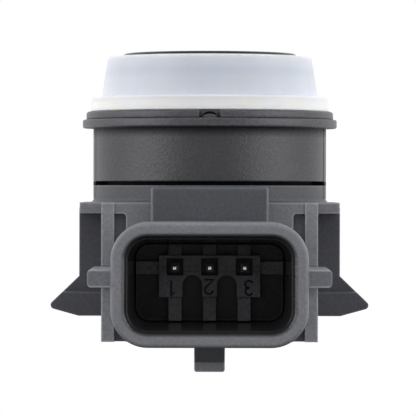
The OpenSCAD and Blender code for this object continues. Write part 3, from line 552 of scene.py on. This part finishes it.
def grained_finish(name, dark, light, roughness, size, depth, **shader_values):
    """Plain matter with a fine grain in shade, gloss and height."""
    material, tree, shader, place = new_finish(name, dark, roughness, **shader_values)
    specks = grain(tree, place, size, detail=3.0)
    gloss = spread(tree, specks, 0.3, 0.7, roughness - 0.07, roughness + 0.07)
    colour = tint(tree, spread(tree, specks, 0.3, 0.7, 0, 1), dark, light)
    tree.links.new(colour, shader.inputs["Base Color"])
    tree.links.new(gloss, shader.inputs["Roughness"])
    relief(tree, shader, specks, depth)
    return material


def wound_finish():
    """Enamelled copper wire laid turn by turn: light and dark bands across the winding's height."""
    material, tree, shader, place = new_finish("copper", (0.55, 0.20, 0.08), 0.3, Metallic=1.0)
    turns = threads(tree, place, "Z", 0.9 * MM, 0.4)
    tree.links.new(tint(tree, turns, (0.30, 0.10, 0.04), (0.62, 0.24, 0.10)), shader.inputs["Base Color"])
    tree.links.new(spread(tree, turns, 0, 1, 0.45, 0.25), shader.inputs["Roughness"])
    relief(tree, shader, turns, 0.03 * MM)
    return material


def board_finish():
    """Green solder mask over woven glass: two crossed sets of fine threads show through it."""
    material, tree, shader, place = new_finish("board", (0.014, 0.085, 0.040), 0.35)
    warp, weft = (threads(tree, place, axis, 1.2 * MM, 0.3) for axis in "XY")
    weave = joined(tree, "MULTIPLY", warp, weft)
    colour = tint(tree, weave, (0.010, 0.070, 0.032), (0.020, 0.105, 0.050))
    tree.links.new(colour, shader.inputs["Base Color"])
    tree.links.new(spread(tree, weave, 0, 1, 0.30, 0.42), shader.inputs["Roughness"])
    relief(tree, shader, weave, 0.006 * MM)
    return material


def soften(obj, width):
    """Rounds a solid's sharp edges by a hair, as moulding leaves them."""
    weld = obj.modifiers.new("weld", "WELD")
    weld.merge_threshold = WELD_GAP
    flat = obj.modifiers.new("flat", "DECIMATE")
    flat.decimate_type = "DISSOLVE"
    flat.angle_limit = FLAT_ANGLE
    bevel = obj.modifiers.new("edges", "BEVEL")
    bevel.width = width
    bevel.segments = BEVEL_STEPS
    bevel.limit_method = "ANGLE"
    bevel.angle_limit = SHARP_ANGLE
    bevel.use_clamp_overlap = True
    normals = obj.modifiers.new("normals", "WEIGHTED_NORMAL")
    normals.keep_sharp = False


def dress(names, material, width=BEVEL_W):
    """Gives CAD nodes their finish and softened edges."""
    for name in names:
        obj = nodes[name]
        obj.data.materials.clear()
        obj.data.materials.append(material)
        if width:
            soften(obj, width)


def stroke_path(*pieces):
    """One path from straight points and arcs. An arc is its centre, radii, first angle and last angle in
    degrees: points centre + radius * (cos a, sin a) at even angles."""
    def along(piece):
        if len(piece) == 2:
            return np.array([piece])
        u, v, ru, rv, first, last = piece
        a = np.radians(np.linspace(first, last, ARC_POINTS))
        return np.stack([u + ru * np.cos(a), v + rv * np.sin(a)], axis=1)
    return np.concatenate([along(piece) for piece in pieces])


# Strokes of the numerals, upright, in a unit of their height: straight points, and arcs
NUMERAL_STROKES = {
    "1": stroke_path((-0.25, 0.79), (0.0, 1.0), (0.0, 0.0)),
    "2": stroke_path((0.0, 0.70, 0.29, 0.30, 170, -28), (-0.30, 0.0), (0.31, 0.0)),
    "3": stroke_path((0.0, 0.74, 0.25, 0.26, 158, -82), (0.0, 0.25, 0.27, 0.25, 82, -158)),
}


def add_numeral(figure, material):
    """A moulded numeral, turned upside down: a flat-topped profile carried along the stroke's path. A point
    is the path's point plus the profile's width along the mitred normal and its height out of the block's
    face."""
    path = (NUMERAL_STROKES[figure] - (0.0, 0.5)) * -NUMERAL_H + NUMERAL_PLACES[figure]
    steps = np.diff(path, axis=0)
    steps /= np.linalg.norm(steps, axis=1, keepdims=True)
    before, after = np.vstack([steps[:1], steps]), np.vstack([steps, steps[-1:]])
    tangent = before + after
    tangent /= np.linalg.norm(tangent, axis=1, keepdims=True)
    mitre = 1 / np.clip((tangent * after).sum(axis=1), 0.5, 1)
    normal = np.stack([-tangent[:, 1], tangent[:, 0]], axis=1) * mitre[:, None]
    wide = STROKE_HALF_W * np.array([-1.0, -0.8, 0.8, 1.0])
    out = np.array([-STROKE_ROOT, STROKE_RISE, STROKE_RISE, -STROKE_ROOT])
    flat = path[:, None] + normal[:, None] * wide[None, :, None]
    rise = np.broadcast_to(NUMERAL_FACE_Y - out, flat.shape[:2])
    corners = np.stack([flat[..., 0], rise, flat[..., 1]], axis=-1)
    rows, cols = corners.shape[:2]
    i, j = np.meshgrid(np.arange(rows - 1) * cols, np.arange(cols), indexing="ij")
    k = (j + 1) % cols
    sides = np.stack([i + j, i + k, i + cols + k, i + cols + j], axis=-1).reshape(-1, 4)
    ends = [list(range(cols))[::-1], list(range((rows - 1) * cols, rows * cols))]
    mesh = bpy.data.meshes.new("way_numeral_" + figure)
    mesh.from_pydata(corners.reshape(-1, 3).tolist(), [], sides.tolist() + ends)
    shell = bmesh.new()
    shell.from_mesh(mesh)
    bmesh.ops.recalc_face_normals(shell, faces=shell.faces)
    shell.to_mesh(mesh)
    shell.free()
    mesh.materials.append(material)
    numeral = bpy.data.objects.new("way_numeral_" + figure, mesh)
    bpy.context.scene.collection.objects.link(numeral)
    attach(numeral, "root")


def add_floor(z):
    """White floor: it shows the shadow near the sensor, and glows white further out for rays that see it."""
    mesh = bpy.data.meshes.new("floor")
    corners = [(sx * FLOOR_HALF, sy * FLOOR_HALF, z) for sx, sy in ((-1, -1), (1, -1), (1, 1), (-1, 1))]
    mesh.from_pydata(corners, [], [(0, 1, 2, 3)])
    floor = bpy.data.objects.new("floor", mesh)
    bpy.context.scene.collection.objects.link(floor)
    material, tree, shader, place = new_finish("floor_white", FLOOR_GREY, 0.9, Specular_IOR_Level=0.0)
    rays = put(tree, "ShaderNodeLightPath").outputs
    seen = joined(
        tree, "MAXIMUM", rays["Is Camera Ray"], rays["Is Glossy Ray"], rays["Is Transmission Ray"])
    away = put(tree, "ShaderNodeVectorMath", operation="LENGTH", Vector=place).outputs["Value"]
    far = spread(tree, away, FLOOR_SHADOW_R, FLOOR_WHITE_R, 0, 1, smooth=True)
    glow = put(tree, "ShaderNodeEmission", Color=(1, 1, 1, 1), Strength=1.0)
    grey = tint(tree, rays["Is Camera Ray"], FLOOR_BOUNCE, FLOOR_GREY)
    mix = put(tree, "ShaderNodeMixShader")
    tree.links.new(grey, shader.inputs["Base Color"])
    tree.links.new(overlap(tree, far, seen), mix.inputs[0])
    tree.links.new(shader.outputs["BSDF"], mix.inputs[1])
    tree.links.new(glow.outputs["Emission"], mix.inputs[2])
    tree.links.new(mix.outputs["Shader"], tree.nodes["Material Output"].inputs["Surface"])
    mesh.materials.append(material)


def add_surround():
    """Surround that is white where it is seen; its light and its gloss are dim on the camera's side."""
    world = bpy.data.worlds.new("white_surround")
    world.use_nodes = True
    bpy.context.scene.world = world
    tree = world.node_tree
    rays = put(tree, "ShaderNodeLightPath").outputs
    direction = put(tree, "ShaderNodeTexCoord").outputs["Generated"]
    y = put(tree, "ShaderNodeSeparateXYZ", Vector=direction).outputs["Y"]
    behind = spread(tree, y, ROOM_FRONT, ROOM_BACK, 0, 1, smooth=True)
    seen = joined(tree, "MAXIMUM", rays["Is Camera Ray"], rays["Is Transmission Ray"])
    gloss = between(tree, behind, ROOM_GLOSS, 1.0)
    light = between(tree, behind, ROOM_LIGHT, 1.0)
    room = between(tree, rays["Is Glossy Ray"], light, gloss)
    background = tree.nodes["Background"]
    background.inputs["Color"].default_value = (1, 1, 1, 1)
    tree.links.new(between(tree, seen, room, 1.0), background.inputs["Strength"])


def add_soft_boxes(middle):
    """Soft boxes round the sensor, each turned to its middle."""
    for name, (azimuth, elevation, away, w, h, watts, in_gloss) in SOFT_BOXES.items():
        data = bpy.data.lights.new(name, "AREA")
        data.shape = "RECTANGLE"
        data.size, data.size_y, data.energy = w, h, watts
        lamp = bpy.data.objects.new(name, data)
        lamp.visible_glossy = in_gloss
        a, e = math.radians(azimuth), math.radians(elevation)
        direction = np.array([math.sin(a) * math.cos(e), -math.cos(a) * math.cos(e), math.sin(e)])
        lamp.location = middle + away * direction
        lamp.rotation_euler = (math.pi / 2 - e, 0, a)
        bpy.context.scene.collection.objects.link(lamp)


def add_camera():
    """Camera at the photograph's viewing angle, a little rolled."""
    data = bpy.data.cameras.new("camera")
    data.sensor_width = SENSOR_MM
    data.lens = SENSOR_MM * (CAMERA_AWAY / MM) / (PICTURE_PX * MM_PER_PX)
    camera = bpy.data.objects.new("camera", data)
    camera.location = (CAMERA_X, -CAMERA_AWAY, EYE_Z)
    camera.rotation_euler = (math.pi / 2 - math.atan2(AIM_DROP, CAMERA_AWAY), -CAMERA_ROLL, 0)
    bpy.context.scene.collection.objects.link(camera)
    bpy.context.scene.camera = camera


carrier_plastic = carrier_finish()
cover_plastic, *_ = spark_eroded("cover_plastic", (0.090, 0.092, 0.098), (0.120, 0.122, 0.130), 0.5)
lead_tin = grained_finish(
    "lead_tin", (0.52, 0.50, 0.46), (0.66, 0.64, 0.60), 0.35, 0.06 * MM, 0.002 * MM, Metallic=1.0)

dress(["retaining_collar", "front_sleeve"], sleeve_finish())
dress(["main_housing"], housing_finish())
dress(["rear_cover"], cover_plastic)
dress(["decoupling_ring"], soft_ring_finish())
dress(["membrane_pot"], lacquer_finish())
dress(["terminal_carrier", "contact_carrier"], carrier_plastic, CARRIER_EDGE)
dress(["terminal_pin_1", "terminal_pin_2", "terminal_pin_3", "transducer_pins"], tinned_finish(), PIN_EDGE)
dress(["circuit_board"], board_finish(), PIN_EDGE)
dress(["transformer_winding"], wound_finish(), 0)
dress(["piezo_leads"], lead_tin, 0)
for piece, (finish, dark, light, roughness, size, depth, edge) in INNER_FINISHES.items():
    dress([piece], grained_finish(finish, dark, light, roughness, size * MM, depth * MM), edge * MM)

# The numerals' near-black strokes are painted shade, standing in for the shadow inside the moulded numerals
numeral_plastic, *_ = spark_eroded(
    "numeral_plastic", (0.006, 0.006, 0.007), (0.012, 0.012, 0.013), 0.6, specular=0.2)
for figure in NUMERAL_PLACES:
    add_numeral(figure, numeral_plastic)

low, high = (np.array(corner) for corner in solid_box)
add_floor(low[2] - FLOOR_DROP)
add_surround()
add_soft_boxes((low + high) / 2)
add_camera()
bpy.context.scene.view_settings.view_transform = "Standard"
